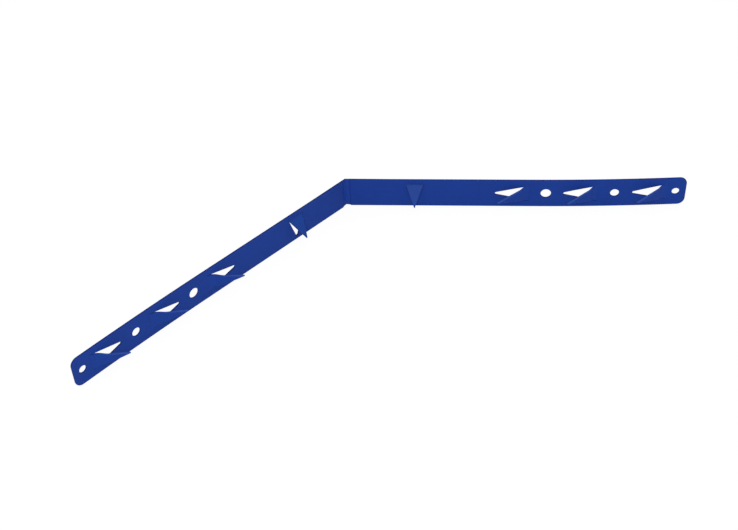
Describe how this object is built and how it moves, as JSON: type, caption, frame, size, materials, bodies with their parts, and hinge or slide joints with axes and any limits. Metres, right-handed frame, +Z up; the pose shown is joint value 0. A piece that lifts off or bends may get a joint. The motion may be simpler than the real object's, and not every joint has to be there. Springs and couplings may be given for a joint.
{
  "type": "sock aid",
  "caption": "Flat plastic strip folded at a thin web, with triangular tabs standing out of windows in each arm to hook a sock's cuff.",
  "frame": {"origin": "on the fold line, at the level of the edges that the strip stands on", "axes": "+Z up along the fold line, +X along the right arm, -Y out of the inside of the fold"},
  "size_m": [0.598, 0.2863, 0.035],
  "materials": {
    "blue_strip": "satin moulded polypropylene",
    "bent_tabs": "satin, a little paler along the crease",
    "fold_film": "thin satin film, paler where it bends"
  },
  "bodies": {
    "right_arm": {"right_arm": "blue_strip", "fold_web": "fold_film"},
    "left_arm": {"left_arm": "blue_strip"},
    "right_inner_tab": {"right_inner_tab": "bent_tabs"},
    "right_outer_tab_1": {"right_outer_tab_1": "bent_tabs"},
    "right_outer_tab_2": {"right_outer_tab_2": "bent_tabs"},
    "right_outer_tab_3": {"right_outer_tab_3": "bent_tabs"},
    "left_inner_tab": {"left_inner_tab": "bent_tabs"},
    "left_outer_tab_1": {"left_outer_tab_1": "bent_tabs"},
    "left_outer_tab_2": {"left_outer_tab_2": "bent_tabs"},
    "left_outer_tab_3": {"left_outer_tab_3": "bent_tabs"}
  },
  "joints": [
    {"name": "fold", "type": "hinge", "parent": "right_arm", "child": "left_arm", "pos_m": [0, 0, 0], "axis": [0, 0, 1], "range_deg": [-49.5, 90], "stiffness_Nm_per_rad": 0.03, "deforming": ["fold_web"]},
    {"name": "right_inner_tab_flex", "type": "hinge", "parent": "right_arm", "child": "right_inner_tab", "pos_m": [0.075, -0.00055, 0.0288], "axis": [-1, 0, 0], "range_deg": [-33, 10], "stiffness_Nm_per_rad": 0.2},
    {"name": "right_outer_tab_1_flex", "type": "hinge", "parent": "right_arm", "child": "right_outer_tab_1", "pos_m": [0.197, -0.00055, 0.0175], "axis": [0, 0, 1], "range_deg": [-22, 10], "stiffness_Nm_per_rad": 0.2},
    {"name": "right_outer_tab_2_flex", "type": "hinge", "parent": "right_arm", "child": "right_outer_tab_2", "pos_m": [0.26999, 0.00056, 0.0175], "axis": [0, 0, 1], "range_deg": [-23, 10], "stiffness_Nm_per_rad": 0.2},
    {"name": "right_outer_tab_3_flex", "type": "hinge", "parent": "right_arm", "child": "right_outer_tab_3", "pos_m": [0.3429, 0.0041, 0.0175], "axis": [0, 0, 1], "range_deg": [-22, 10], "stiffness_Nm_per_rad": 0.2},
    {"name": "left_inner_tab_flex", "type": "hinge", "parent": "left_arm", "child": "left_inner_tab", "pos_m": [-0.04829, -0.05739, 0.0288], "axis": [-0.6494, -0.7604, 0], "range_deg": [-33, 10], "stiffness_Nm_per_rad": 0.2},
    {"name": "left_outer_tab_1_flex", "type": "hinge", "parent": "left_arm", "child": "left_outer_tab_1", "pos_m": [-0.12752, -0.15016, 0.0175], "axis": [0, 0, -1], "range_deg": [-24, 10], "stiffness_Nm_per_rad": 0.2},
    {"name": "left_outer_tab_2_flex", "type": "hinge", "parent": "left_arm", "child": "left_outer_tab_2", "pos_m": [-0.17446, -0.20606, 0.0175], "axis": [0, 0, -1], "range_deg": [-18, 10], "stiffness_Nm_per_rad": 0.2},
    {"name": "left_outer_tab_3_flex", "type": "hinge", "parent": "left_arm", "child": "left_outer_tab_3", "pos_m": [-0.22038, -0.26281, 0.0175], "axis": [0, 0, -1], "range_deg": [-23, 10], "stiffness_Nm_per_rad": 0.2}
  ]
}
